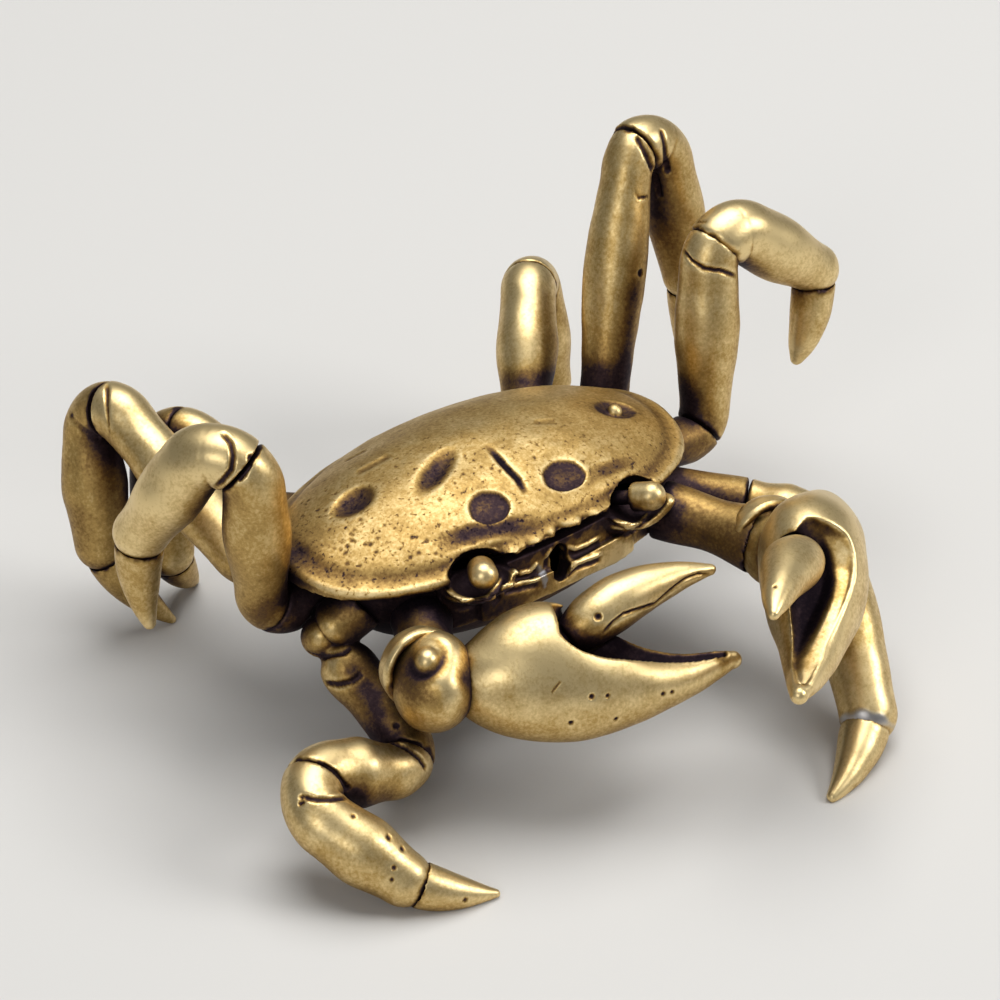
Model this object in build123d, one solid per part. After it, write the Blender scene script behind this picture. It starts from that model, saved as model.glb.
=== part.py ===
from build123d import *
from math import acos, cos, degrees, radians, sin, sqrt
import os

# Crab ornament of cast brass pieces, pegged and soldered together. Millimetres.
# The crab faces -Y, its left side is +X, and its feet stand on z = 0.

# Body shell
CARAPACE_WIDTH = 37.4
FRONT_REACH = 10.8        # from the widest line to the front lip
BACK_REACH = 12.0         # from the widest line to the back edge
WIDEST_Y = -2.5
OUTLINE_POWER = 2.45      # 2 is an ellipse, more is squarer
RIM_HEIGHT = 17.6         # of the carapace's widest line above the floor
DOME_HEIGHT = 4.7
DOME_SPREAD = 1.3         # of the dome's ellipsoid beyond the rim
RIM_DROP = 1.3            # the rim's turned-down edge
BODY_DEPTH = 8.6          # from the rim down to the belly
BODY_PITCH = 7.0          # nose up, degrees
WALL = 1.5
SEAT_GAP = 0.04           # solder line between pieces

# Face
EYE_SPACING = 16.4
EYE_RADIUS = 1.2
EYE_LENGTH = 1.6          # of the straight part of the eye
STALK_RADIUS = 0.6
STALK_LENGTH = 3.0
ORBIT_WIDTH = 5.4
ORBIT_HEIGHT = 3.4
LID = 0.55                # thickness of the lip below each eye
MOUTH_WIDTH = 1.7
MOUTH_HEIGHT = 3.2
FACE_WIDTH = 22.0
FACE_HEIGHT = 4.4

# Spots of the carapace
SPOT_SPACING = 7.5
SPOT_RADIUS = 1.6
SPOT_DEPTH = 0.55
HOLLOW_DEPTH = 0.55
BEAD_RADIUS = 0.65

# Soft hollows of the carapace: place as fractions of half the width and of the reach, then half
# lengths across and along the body
HOLLOWS = [((-0.65, 0.07), (2.0, 1.6)), ((-0.22, 0.06), (2.9, 1.4)), ((0.70, -0.17), (2.1, 1.6))]
# Nicks of the front lip: place as a fraction of the eyes' spacing, and radius
NICKS = [(-0.34, 0.3), (-0.26, 0.42), (-0.175, 0.28), (-0.095, 0.44), (0.0, 0.5),
         (0.085, 0.36), (0.16, 0.46), (0.25, 0.28), (0.335, 0.4)]

# Legs, radii of the round sections and of the bends
ROOT_RADIUS = 2.15
HIP_RADIUS = 2.2
THIGH_RADIUS = 2.75
KNEE_RADIUS = 2.5
SHANK_RADIUS = 2.75
ANKLE_RADIUS = 2.25
DACTYL_RADIUS = 1.85
CLAW_POINT_RADIUS = 0.5
HIP_BEND = 2.45
KNEE_BEND = 2.75
THIGH_SHARE = 0.34        # part of the knee's turn that belongs to the thigh
CARPUS_SHARE = 0.68       # where the chased line between carpus and propodus lies
GROOVE_WIDTH = 0.32
GROOVE_DEPTH = 0.42
PEG_RADIUS = 0.8
PEG_LENGTH = 1.5
ROOT_PEG_RADIUS = 1.1
ROOT_PEG_LENGTH = 2.6
PEG_CLEARANCE = 0.05
FOOT_HEIGHT = 0.32        # of a standing tip's centre above the floor

# Claws
PALM_LENGTH = 21.9
PALM_HEIGHT = 11.2
PALM_THICKNESS = 8.7
FINGER_LENGTH = 13.0
FINGER_HEIGHT = 4.4
FINGER_THICKNESS = 4.6
FINGER_GAP = 0.28
TROUGH_WIDTH = 5.7        # of the hollow along the fixed finger, at its widest
TROUGH_DEPTH = 6.0        # height of the same hollow's section there
TROUGH_TWIST = 32.0       # degrees that it faces outward from the movable finger
PALM_CORE = 0.12          # share of the palm's length where the wrist's peg enters it
WRIST_RADIUS = 3.3
KNOB_RADIUS = 0.95
ARM_RADIUS = 2.5
CUP_GAP = 0.12

# Each leg: its socket as fractions of half the width and of the reach, then the compass heading and
# the rise of its root, thigh, shank and tip in degrees, then their straight lengths. A tip that
# stands has no length of its own: it goes down to the floor.
LEGS = {
    "right_1": ((-0.79, -0.28), [(-80, -32), (169, 19), (-58, -30), (-34, -16)], [9.9, 4.9, 7.0, None]),
    "right_2": ((-0.695, 0.035), [(171, -6), (169, 89), (125, -58), (247, -82)], [5.8, 10.0, 8.9, 8.4]),
    "right_3": ((-0.67, 0.39), [(156, 4), (97, 26), (64, -107), (-35, -56)], [5.4, 14.7, 9.6, None]),
    "right_4": ((-0.40, 0.624), [(132, -5), (108, 34), (70, -100), (20, -58)], [6.6, 7.2, 8.6, None]),
    "left_1": ((0.66, -0.33), [(-37, -12), (-61, -4), (-116, -33), (-152, -15)], [9.8, 5.0, 15.2, None]),
    "left_2": ((0.68, 0.00), [(-1, -7), (50, 71), (-14, -38), (205, -70)], [9.1, 12.6, 8.7, 8.3]),
    "left_3": ((0.65, 0.38), [(25, -6), (42, 62), (-80, -74), (60, -80)], [6.4, 18.9, 10.6, 8.8]),
    "left_4": ((0.425, 0.607), [(39, -6), (50, 32), (-41, -83), (66, -54)], [7.4, 9.7, 8.8, None]),
}
# These lengths suit a rim 17.6 above the floor; a body carried higher has longer legs.
LEG_STRETCH = RIM_HEIGHT / 17.6
SOCKET_DROP = 3.75        # of the sockets below the rim
ARM_DROP = 0.6            # of the claws' sockets below the legs' ones
# The front right leg shows a coxa that hangs from the body and a bead before its ischium.
COXA_HEADING = (159, -38)
COXA_LENGTH = 4.4
COXA_RADIUS = 2.1
COXA_BEAD_RADIUS = 1.75

# Each claw: where its arm leaves the body as fractions, the middle of its wrist and the start of its
# palm (each as far inside the widest line, ahead of the front lip and below the rim), the heading and
# rise of the palm, and its roll about its own length.
CLAWS = {
    "right": (-1, (-0.61, -0.56), (3.2, 2.8, 4.5), (5.8, 4.4, 5.1), (-26, -3), 38),
    "left": (1, (0.66, -0.74), (2.0, 7.5, 3.6), (-1.1, 9.0, 1.5), (-137, -3), -19),
}

HALF_WIDTH = CARAPACE_WIDTH / 2
DOME_SIZES = (DOME_SPREAD * HALF_WIDTH, DOME_SPREAD * (FRONT_REACH + BACK_REACH) / 2,
              DOME_HEIGHT / (1 - sqrt(1 - 1 / DOME_SPREAD ** 2)))
DOME_MIDDLE = Vector(0, WIDEST_Y + (BACK_REACH - FRONT_REACH) / 2, RIM_HEIGHT + DOME_HEIGHT - DOME_SIZES[2])
BODY_PIVOT = Axis((0, WIDEST_Y, RIM_HEIGHT), (1, 0, 0))


def direction(heading, rise):
    return Vector(cos(radians(rise)) * cos(radians(heading)),
                  cos(radians(rise)) * sin(radians(heading)),
                  sin(radians(rise)))


def pitched(shape):
    return shape.rotate(BODY_PIVOT, -BODY_PITCH)


def biggest(shape):
    return max(shape.solids(), key=lambda solid: solid.volume)


# Body outline: a squared oval with its own reach to the front and to the back
def outline(scale, height):
    points = []
    for step in range(28):
        angle = radians(360 / 28 * step)
        reach = BACK_REACH if sin(angle) > 0 else FRONT_REACH
        radius = ((abs(cos(angle)) / HALF_WIDTH) ** OUTLINE_POWER
                  + (abs(sin(angle)) / reach) ** OUTLINE_POWER) ** (-1 / OUTLINE_POWER)
        points.append((scale * radius * cos(angle), WIDEST_Y + scale * radius * sin(angle), height))
    return make_face(Spline(*points, periodic=True))


def dome(inset, low):
    """The carapace's outer form, or its hollow when inset by the wall."""
    walls = extrude(outline(1 - inset / FRONT_REACH, low), 3 * DOME_HEIGHT)
    return walls & Pos(DOME_MIDDLE) * scale(Sphere(1), by=tuple(size - inset for size in DOME_SIZES))


def bowl(grow):
    """The underbody's outer form, grown by a little all round, or shrunk for its hollow."""
    spread = grow / FRONT_REACH
    top = RIM_HEIGHT - RIM_DROP - SEAT_GAP
    levels = [(0.905, 0.0), (0.89, 0.22), (0.81, 0.55), (0.66, 0.82), (0.42, 1.0)]
    sections = [outline(scale + spread, top - share * (BODY_DEPTH + grow)) for scale, share in levels]
    return loft(sections)


def band(inner, outer, low, high):
    """A slice of the space between two scaled outlines."""
    return extrude(outline(outer, low) - outline(inner, low), high - low)


def on_dome(x, y):
    """The point of the un-pitched dome above x, y, and its outward normal."""
    flat = ((x - DOME_MIDDLE.X) / DOME_SIZES[0], (y - DOME_MIDDLE.Y) / DOME_SIZES[1])
    up = sqrt(1 - flat[0] ** 2 - flat[1] ** 2)
    normal = Vector(flat[0] / DOME_SIZES[0], flat[1] / DOME_SIZES[1], up / DOME_SIZES[2]).normalized()
    return Vector(x, y, DOME_MIDDLE.Z + up * DOME_SIZES[2]), normal


# Bent tubes of the limbs
def tube(start, heading, length, radii):
    """A turned solid along a straight line; radii are (share of the length, radius)."""
    points = [(radius, share * length) for share, radius in radii]
    side = Spline(*points, tangents=[(0, 1), (0, 1)])
    last = points[-1]
    edges = side + Polyline(last, (0, length), (0, 0), points[0])
    turned = revolve(make_face(Plane.XZ * edges), Axis.Z)
    return Plane(origin=start, z_dir=heading) * turned


def grown(radii):
    """The radii of a limb with room for the solder line round it."""
    return [(share, radius + 2 * SEAT_GAP) for share, radius in radii]


class Bend:
    """The round elbow between two headings, starting at a point."""

    def __init__(self, start, before, after, bend_radius):
        self.start = start
        self.before = before
        self.turn = degrees(acos(max(-1, min(1, before.dot(after)))))
        self.bend_radius = bend_radius
        self.inward = (after - before * before.dot(after)).normalized()
        self.centre = start + self.inward * bend_radius
        self.axis = Axis(self.centre, before.cross(self.inward))

    def plane(self, share):
        """The cross-section plane at a share of the turn; its normal points on along the limb."""
        angle = radians(self.turn * share)
        outward = self.before * sin(angle) - self.inward * cos(angle)
        onward = self.before * cos(angle) + self.inward * sin(angle)
        return Plane(origin=self.centre + outward * self.bend_radius, x_dir=outward * -1, z_dir=onward)

    def segment(self, first, last, radius, gap=0.0):
        """The elbow's solid between two shares of the turn."""
        lift = gap / (self.bend_radius * radians(self.turn))
        disc = self.plane(first + lift) * Circle(radius)
        return revolve(disc, self.axis, self.turn * (last - first - lift))

    def end(self):
        return self.plane(1.0).origin


def groove(plane, radius, offset=0.0):
    """A V-shaped ring cut round a limb at a plane, moved sideways where it fades out."""
    outer = radius + 0.5
    wedge = make_face(Plane.XZ * Polyline((radius - GROOVE_DEPTH, 0), (outer, -GROOVE_WIDTH),
                                          (outer, GROOVE_WIDTH), (radius - GROOVE_DEPTH, 0)))
    return plane * Pos(offset, 0, 0) * revolve(wedge, Axis.Z)


def peg(plane, radius=PEG_RADIUS, length=PEG_LENGTH):
    """A peg that points back from a joint plane into the piece before it."""
    return plane * Pos(0, 0, -length / 2 + 0.3) * Cylinder(radius, length + 0.6)


def hole(plane, radius=PEG_RADIUS, length=PEG_LENGTH):
    return peg(plane, radius + PEG_CLEARANCE, length + 2 * PEG_CLEARANCE)


def horn(start, heading, length, curl_towards):
    """A tapering dactyl, slightly hooked, with a round point."""
    shares = [(0.0, 1.0), (0.3, 1.0), (0.62, 0.76), (0.86, 0.48), (1.0, CLAW_POINT_RADIUS / DACTYL_RADIUS)]
    sag = 0.06 * length
    sections = []
    for share, size in shares:
        bow = curl_towards * (sag * 4 * share * (share - 1))
        slope = curl_towards * (sag * 4 * (2 * share - 1) / length)
        place = Plane(origin=start + heading * (share * length) + bow, z_dir=heading + slope)
        sections.append(place * Circle(DACTYL_RADIUS * size))
    point = Pos(start + heading * length) * Sphere(CLAW_POINT_RADIUS)
    return loft(sections) + point


pieces = {}

# Carapace: a domed shell with round spots, soft hollows, a bead and a notched front lip
dome_form = dome(0, RIM_HEIGHT - RIM_DROP)
carapace = dome_form - dome(WALL, RIM_HEIGHT - RIM_DROP - 0.5)

spot_y = WIDEST_Y - 0.58 * FRONT_REACH
for side in (-1, 1):
    point, normal = on_dome(side * SPOT_SPACING / 2, spot_y)
    carapace -= Plane(origin=point, z_dir=normal) * Cylinder(SPOT_RADIUS, 2 * SPOT_DEPTH)
for (x_share, y_share), (across, along) in HOLLOWS:
    reach = BACK_REACH if y_share > 0 else FRONT_REACH
    point, normal = on_dome(x_share * HALF_WIDTH, WIDEST_Y + y_share * reach)
    dish = scale(Sphere(1), by=(across, along, HOLLOW_DEPTH))
    carapace -= Plane(origin=point, x_dir=(1, 0, -normal.X / normal.Z), z_dir=normal) * dish
carapace += Pos(point + normal * (0.3 * BEAD_RADIUS - HOLLOW_DEPTH)) * Sphere(BEAD_RADIUS)
lip_y = WIDEST_Y - FRONT_REACH
for share, nick_radius in NICKS:
    nick_y = lip_y - 0.1 + 0.4 * abs(share)
    carapace -= Pos(share * EYE_SPACING, nick_y, RIM_HEIGHT) * Cylinder(nick_radius, 4 * RIM_DROP)

# Orbits: the front lip arches over each eye
eye_z = RIM_HEIGHT - 0.2
eye_y = WIDEST_Y - 0.985 * FRONT_REACH


def orbit(side, grow=0.0):
    socket = scale(Sphere(1), by=(ORBIT_WIDTH / 2 + grow, 2.6 + grow, ORBIT_HEIGHT / 2 + grow))
    return Pos(side * EYE_SPACING / 2, eye_y + 0.2, eye_z - 0.5) * socket


for side in (-1, 1):
    carapace -= orbit(side)
pieces["carapace"] = pitched(biggest(carapace))

# Underbody: a hollow bowl, open in front for the face, with the belly flap in relief
bowl_form = bowl(0)
underbody = bowl_form - Pos(0, 0, WALL) * bowl(-WALL)
face_top = RIM_HEIGHT - RIM_DROP - SEAT_GAP
face_low = face_top - FACE_HEIGHT
face_block = Pos(0, lip_y, face_top - FACE_HEIGHT / 2) * Box(FACE_WIDTH, 12, FACE_HEIGHT)
window = Pos(0, lip_y, face_top - FACE_HEIGHT / 2 + 0.5) * Box(
    FACE_WIDTH + 2 * SEAT_GAP, 12 + 2 * SEAT_GAP, FACE_HEIGHT + 1 + 2 * SEAT_GAP)
underbody -= window
belly_z = face_top - BODY_DEPTH
flap = Polyline((-4.2, BACK_REACH * 0.34), (-3.0, -1.5), (-1.0, -4.4), (1.0, -4.4), (3.0, -1.5),
                (4.2, BACK_REACH * 0.34), (-4.2, BACK_REACH * 0.34))
flap_plate = Pos(0, WIDEST_Y, belly_z - 0.45) * extrude(make_face(flap), 1.2)
for row in range(4):
    flap_plate -= Pos(0, WIDEST_Y + BACK_REACH * 0.34 - 1.6 * (row + 1), belly_z - 0.55) * Box(12, 0.35, 0.6)
underbody += flap_plate

# Face plate: orbits, mouth slot and the two mouth plates
face = band(0.80, 0.925, face_low, face_top) & face_block
plates = band(0.85, 0.96, face_low, face_low + 0.48 * FACE_HEIGHT) & Pos(0, lip_y, face_low) * Box(
    0.72 * FACE_WIDTH, 12, 2 * FACE_HEIGHT)
face += plates
for side in (-1, 1):
    lid = orbit(side, LID) - orbit(side)
    lid &= Pos(0, eye_y + 0.6, face_top - 2) * Box(CARAPACE_WIDTH, 3.2, 4)
    face += lid
    face -= orbit(side)
mouth_slot = SlotOverall(MOUTH_HEIGHT, MOUTH_WIDTH, rotation=90)
mouth = extrude(Pos(0, face_top - 0.46 * FACE_HEIGHT, 0) * mouth_slot, 14)
face -= Plane.XZ * Pos(0, 0, -lip_y - 7) * mouth
pieces["face"] = pitched(biggest(face))

# Eyes: short round-ended posts that look outward and forward
for name, side in (("right", -1), ("left", 1)):
    gaze = direction(-90 + side * 30, 12)
    foot = Vector(side * (EYE_SPACING / 2 - 0.3), eye_y + 0.6, eye_z - 0.35)
    place = Plane(origin=foot, z_dir=gaze)
    profile = Polyline((0, EYE_LENGTH + EYE_RADIUS), (0, -STALK_LENGTH), (STALK_RADIUS, -STALK_LENGTH),
                       (STALK_RADIUS, 0), (EYE_RADIUS, 0), (EYE_RADIUS, EYE_LENGTH))
    profile += ThreePointArc((EYE_RADIUS, EYE_LENGTH), (0.6 * EYE_RADIUS, EYE_LENGTH + 0.8 * EYE_RADIUS),
                             (0, EYE_LENGTH + EYE_RADIUS))
    eye = revolve(make_face(Plane.XZ * profile), Axis.Z)
    socket = Pos(0, 0, -STALK_LENGTH / 2) * Cylinder(STALK_RADIUS + PEG_CLEARANCE, STALK_LENGTH + 0.2)
    pieces["face"] -= pitched(place * socket)
    pieces["carapace"] -= pitched(place * socket)
    pieces["eye_" + name] = pitched(place * eye)
pieces["face"] = biggest(pieces["face"])
pieces["carapace"] = biggest(pieces["carapace"])

face_form = extrude(outline(0.925 + SEAT_GAP / FRONT_REACH, face_low - SEAT_GAP), FACE_HEIGHT) & window
body_cut = [pitched(bowl(SEAT_GAP)), pitched(dome(-SEAT_GAP, RIM_HEIGHT - RIM_DROP - SEAT_GAP)),
            pitched(face_form), pitched(orbit(-1, LID + SEAT_GAP)), pitched(orbit(1, LID + SEAT_GAP))]
body_holes = []
neighbours = {"right": [], "left": []}


def body_point(shares, extra_drop=0.0):
    reach = BACK_REACH if shares[1] > 0 else FRONT_REACH
    height = RIM_HEIGHT - SOCKET_DROP - extra_drop
    level = Vertex(shares[0] * HALF_WIDTH, WIDEST_Y + shares[1] * reach, height)
    return pitched(level).center()


def rooted(limb, side, start, heading, depth):
    """A limb's first piece: trimmed to the body and the limb before it, with a peg into the body."""
    place = Plane(origin=start + heading * depth, z_dir=heading)
    body_holes.append(hole(place, ROOT_PEG_RADIUS, depth))
    for form in body_cut + neighbours[side]:
        limb = biggest(limb - form)
    return biggest(limb + peg(place, ROOT_PEG_RADIUS, depth))


# Claws: a palm and its finger are drawn once, lying along X with the finger on top
palm_stations = [(-0.05, 0.42, 0.48, 0.1), (0.11, 0.84, 0.88, 0.2), (0.31, 1.0, 1.0, 0.2),
                 (0.58, 0.64, 0.74, -1.0), (0.82, 0.30, 0.40, -0.9), (0.975, 0.10, 0.14, -0.1)]


def palm_form(grow):
    sections = []
    for share, high, thick, lift in palm_stations:
        place = Plane(origin=(share * PALM_LENGTH, 0, lift), x_dir=(0, 1, 0), z_dir=(1, 0, 0))
        sections.append(place * Ellipse(thick * PALM_THICKNESS / 2 + grow, high * PALM_HEIGHT / 2 + grow))
    end = Pos(0.975 * PALM_LENGTH, 0, -0.1) * Sphere(0.115 * PALM_HEIGHT / 2 + grow)
    return loft(sections) + end


def finger_form(grow):
    stations = [(0.0, 0.62), (0.16, 0.96), (0.36, 1.0), (0.62, 0.78), (0.85, 0.46), (1.0, 0.2)]
    sections = []
    for share, size in stations:
        slope = radians(34 - 30 * share)
        x = 0.37 * PALM_LENGTH + FINGER_LENGTH * (0.85 * share + 0.08 * share ** 2)
        z = 0.25 * PALM_HEIGHT + FINGER_LENGTH * (0.62 * share - 0.28 * share ** 2)
        section = Ellipse(size * FINGER_THICKNESS / 2 + grow, size * FINGER_HEIGHT / 2 + grow)
        sections.append(Plane(origin=(x, 0, z), x_dir=(0, 1, 0), z_dir=(cos(slope), 0, sin(slope))) * section)
    end = sections[-1].center()
    return loft(sections) + Pos(end) * Sphere(0.2 * FINGER_THICKNESS / 2 + grow)


def trough_form():
    """The hollow along the fixed finger, in which the movable finger sits."""
    stations = [(0.30, 1.10, 0.67, 0.77), (0.40, 0.84, 1.0, 1.0), (0.58, 0.51, 0.86, 0.80),
                (0.82, 0.175, 0.40, 0.40), (0.95, 0.125, 0.19, 0.17)]
    sections = []
    for share, lift, high, wide in stations:
        middle = (share * PALM_LENGTH, 0, lift * PALM_HEIGHT / 2)
        place = Plane(origin=middle, x_dir=(0, 1, 0), z_dir=(1, 0, 0))
        sections.append(place * Ellipse(wide * TROUGH_WIDTH / 2, high * TROUGH_DEPTH / 2))
    return loft(sections)


def by_rim(side, inset, ahead, below):
    """A place given from the widest line, the front lip and the rim."""
    return Vector(side * (HALF_WIDTH - inset), lip_y - ahead, RIM_HEIGHT - below)


finger_plane = Plane(origin=(0.37 * PALM_LENGTH, 0, 0.25 * PALM_HEIGHT),
                     z_dir=(cos(radians(34)), 0, sin(radians(34))))
finger_drawn = biggest(finger_form(0) + peg(finger_plane))

for claw, (side, shares, wrist_place, palm_place, heading, roll) in CLAWS.items():
    along = direction(*heading)
    level = Vector(0, 0, 1) - along * along.Z
    upright = level.normalized().rotate(Axis((0, 0, 0), along), -roll)
    palm_start = by_rim(side, *palm_place)
    place = Plane(origin=palm_start, x_dir=along, z_dir=upright)
    trough = trough_form().rotate(Axis.X, -side * TROUGH_TWIST)
    palm_drawn = biggest(palm_form(0) - trough - finger_form(FINGER_GAP) - hole(finger_plane))
    wrist_centre = by_rim(side, *wrist_place)
    palm_way = (palm_start + along * (PALM_CORE * PALM_LENGTH) - wrist_centre).normalized()
    arm_start = body_point(shares, ARM_DROP)
    arm_way = wrist_centre - arm_start
    arm_length = arm_way.length
    arm_way = arm_way.normalized()

    wrist = Pos(wrist_centre) * Sphere(WRIST_RADIUS)
    knob_way = (Vector(0, 0, 1) - along * 0.3 - direction(heading[0] + 90, 0) * 0.55).normalized()
    knob = wrist_centre + knob_way * (WRIST_RADIUS - 0.25)
    wrist += Pos(knob) * Sphere(KNOB_RADIUS)
    arm_radii = [(0, ARM_RADIUS), (0.5, 0.96 * ARM_RADIUS), (0.85, 1.18 * ARM_RADIUS), (1, 1.22 * ARM_RADIUS)]
    arm = tube(arm_start, arm_way, arm_length, arm_radii)
    knob_cup = Pos(knob) * Sphere(KNOB_RADIUS + CUP_GAP)
    arm_plane = Plane(origin=wrist_centre - arm_way * WRIST_RADIUS, z_dir=arm_way)
    palm_plane = Plane(origin=wrist_centre + palm_way * WRIST_RADIUS, z_dir=palm_way)
    arm_cup = Plane(origin=wrist_centre, z_dir=arm_way) * Sphere(WRIST_RADIUS + CUP_GAP)
    palm_cup = Plane(origin=wrist_centre, z_dir=palm_way) * Sphere(WRIST_RADIUS + CUP_GAP)
    arm = arm - arm_cup - knob_cup - place * palm_form(2 * SEAT_GAP)
    arm = rooted(arm, claw, arm_start, arm_way, ROOT_PEG_LENGTH)
    pieces["claw_" + claw + "_arm"] = biggest(arm - hole(arm_plane))
    neighbours[claw].append(tube(arm_start, arm_way, arm_length, grown(arm_radii)))
    pieces["claw_" + claw + "_wrist"] = biggest(wrist + peg(arm_plane) - hole(palm_plane))
    pieces["claw_" + claw + "_palm"] = biggest(place * palm_drawn - palm_cup - knob_cup + peg(palm_plane))
    pieces["claw_" + claw + "_finger"] = biggest(place * finger_drawn)

# Legs
for leg, (shares, headings, lengths) in LEGS.items():
    side = leg.split("_")[0]
    start = body_point(shares)
    ways = [direction(*heading) for heading in headings]
    lengths = [length and length * LEG_STRETCH for length in lengths]
    root_parts = []
    grown_parts = []
    first = start
    if leg == "right_1":
        coxa_way = direction(*COXA_HEADING)
        bead = start + coxa_way * COXA_LENGTH
        coxa_radii = [(0, COXA_RADIUS), (0.55, 1.02 * COXA_RADIUS), (0.9, 0.86 * COXA_RADIUS),
                      (1, 0.6 * COXA_RADIUS)]
        root_parts.append(tube(start, coxa_way, COXA_LENGTH - 0.6, coxa_radii))
        root_parts.append(Pos(bead) * Sphere(COXA_BEAD_RADIUS))
        grown_parts.append(tube(start, coxa_way, COXA_LENGTH, grown(coxa_radii)))
        grown_parts.append(Pos(bead) * Sphere(COXA_BEAD_RADIUS + 2 * SEAT_GAP))
        first = bead + ways[0] * 1.0
        lengths = [lengths[0] - 1.0] + lengths[1:]
        root_radii = [(0, 0.55 * ROOT_RADIUS), (0.14, 0.88 * ROOT_RADIUS), (0.5, ROOT_RADIUS),
                      (1, HIP_RADIUS)]
    else:
        root_radii = [(0, ROOT_RADIUS), (0.5, 0.94 * ROOT_RADIUS), (1, HIP_RADIUS)]
    root_parts.append(tube(first, ways[0], lengths[0], root_radii))
    grown_parts.append(tube(first, ways[0], lengths[0], grown(root_radii)))
    hip = Bend(first + ways[0] * lengths[0], ways[0], ways[1], HIP_BEND)
    root_parts.append(hip.segment(0, 0.5, HIP_RADIUS))

    thigh_start = hip.end()
    knee = Bend(thigh_start + ways[1] * lengths[1], ways[1], ways[2], KNEE_BEND)
    thigh_radii = [(0, HIP_RADIUS), (0.55, THIGH_RADIUS), (1, KNEE_RADIUS)]
    thigh = (hip.segment(0.5, 1, HIP_RADIUS, SEAT_GAP)
             + tube(thigh_start, ways[1], lengths[1], thigh_radii)
             + knee.segment(0, THIGH_SHARE, KNEE_RADIUS))

    shank_start = knee.end()
    ankle = shank_start + ways[2] * lengths[2]
    shank_radii = [(0, KNEE_RADIUS), (0.45, SHANK_RADIUS), (1, ANKLE_RADIUS)]
    shank = (knee.segment(THIGH_SHARE, 1, KNEE_RADIUS, SEAT_GAP)
             + tube(shank_start, ways[2], lengths[2], shank_radii)
             + Pos(ankle) * Sphere(ANKLE_RADIUS))

    tip_length = lengths[3] or (ankle.Z - FOOT_HEIGHT) / -ways[3].Z
    curl = (ways[2] - ways[3] * ways[2].dot(ways[3])).normalized() * -1
    tip = horn(ankle, ways[3], tip_length, curl)
    tip -= Pos(ankle) * Sphere(ANKLE_RADIUS + SEAT_GAP)
    tip -= tube(shank_start, ways[2], lengths[2], grown(shank_radii))
    tip = biggest(tip - Pos(0, 0, -5) * Box(300, 300, 10))

    hip_plane = hip.plane(0.5)
    knee_plane = knee.plane(THIGH_SHARE)
    ankle_plane = Plane(origin=ankle + ways[3] * ANKLE_RADIUS, z_dir=ways[3])
    carpus_plane = knee.plane(CARPUS_SHARE)

    root = sum(root_parts[1:], root_parts[0]) - groove(hip_plane, HIP_RADIUS)
    thigh = thigh - groove(hip_plane, HIP_RADIUS) - groove(knee_plane, KNEE_RADIUS) - hole(knee_plane)
    shank = shank - groove(knee_plane, KNEE_RADIUS) - hole(ankle_plane)
    shank -= groove(carpus_plane, KNEE_RADIUS, -0.4 * GROOVE_DEPTH)
    root_way = direction(*COXA_HEADING) if leg == "right_1" else ways[0]
    root = rooted(root, side, start, root_way, ROOT_PEG_LENGTH)
    pieces["leg_" + leg + "_root"] = biggest(root - hole(hip_plane))
    neighbours[side] += grown_parts
    pieces["leg_" + leg + "_thigh"] = biggest(biggest(thigh) + peg(hip_plane))
    pieces["leg_" + leg + "_shank"] = biggest(biggest(shank) + peg(knee_plane))
    pieces["leg_" + leg + "_tip"] = biggest(tip + peg(ankle_plane))

underbody = pitched(underbody)
for socket in body_holes:
    underbody -= socket
    pieces["face"] -= socket
pieces["face"] = biggest(pieces["face"])
pieces["underbody"] = biggest(underbody)

# The origin is the middle of the footprint, on the floor
boxes = [piece.bounding_box() for piece in pieces.values()]
low = [min(getattr(box.min, axis) for box in boxes) for axis in "XYZ"]
high = [max(getattr(box.max, axis) for box in boxes) for axis in "XYZ"]
shift = Pos(-(low[0] + high[0]) / 2, -(low[1] + high[1]) / 2, -low[2])
os.makedirs("parts", exist_ok=True)
for node, piece in pieces.items():
    export_step(shift * piece, f"parts/{node}.step")
print("pieces", len(pieces), "size", [round(high[i] - low[i], 2) for i in range(3)],
      "shift", [round(value, 3) for value in shift.position])
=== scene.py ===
import math

import bmesh
import bpy
import numpy as np
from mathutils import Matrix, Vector
from mathutils.bvhtree import BVHTree


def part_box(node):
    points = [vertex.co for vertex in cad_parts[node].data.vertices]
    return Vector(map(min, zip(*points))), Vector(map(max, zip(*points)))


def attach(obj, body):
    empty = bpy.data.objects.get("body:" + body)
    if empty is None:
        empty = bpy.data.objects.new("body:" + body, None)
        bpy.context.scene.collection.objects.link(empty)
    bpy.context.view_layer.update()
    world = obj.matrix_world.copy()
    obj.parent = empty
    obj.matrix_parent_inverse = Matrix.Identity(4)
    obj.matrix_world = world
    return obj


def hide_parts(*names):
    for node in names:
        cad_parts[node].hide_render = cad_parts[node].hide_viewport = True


# Crab ornament of cast brass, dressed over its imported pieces
# Lengths are in millimetres and places on the photograph in pixels, where no comment says otherwise

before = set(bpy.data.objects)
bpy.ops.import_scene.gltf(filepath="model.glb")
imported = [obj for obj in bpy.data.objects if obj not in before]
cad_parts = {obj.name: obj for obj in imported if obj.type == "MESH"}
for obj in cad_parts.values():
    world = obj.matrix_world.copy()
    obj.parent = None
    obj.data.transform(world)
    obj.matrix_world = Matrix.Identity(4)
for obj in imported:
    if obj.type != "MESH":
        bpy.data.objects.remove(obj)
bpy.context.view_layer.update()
MM = 0.001

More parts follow.
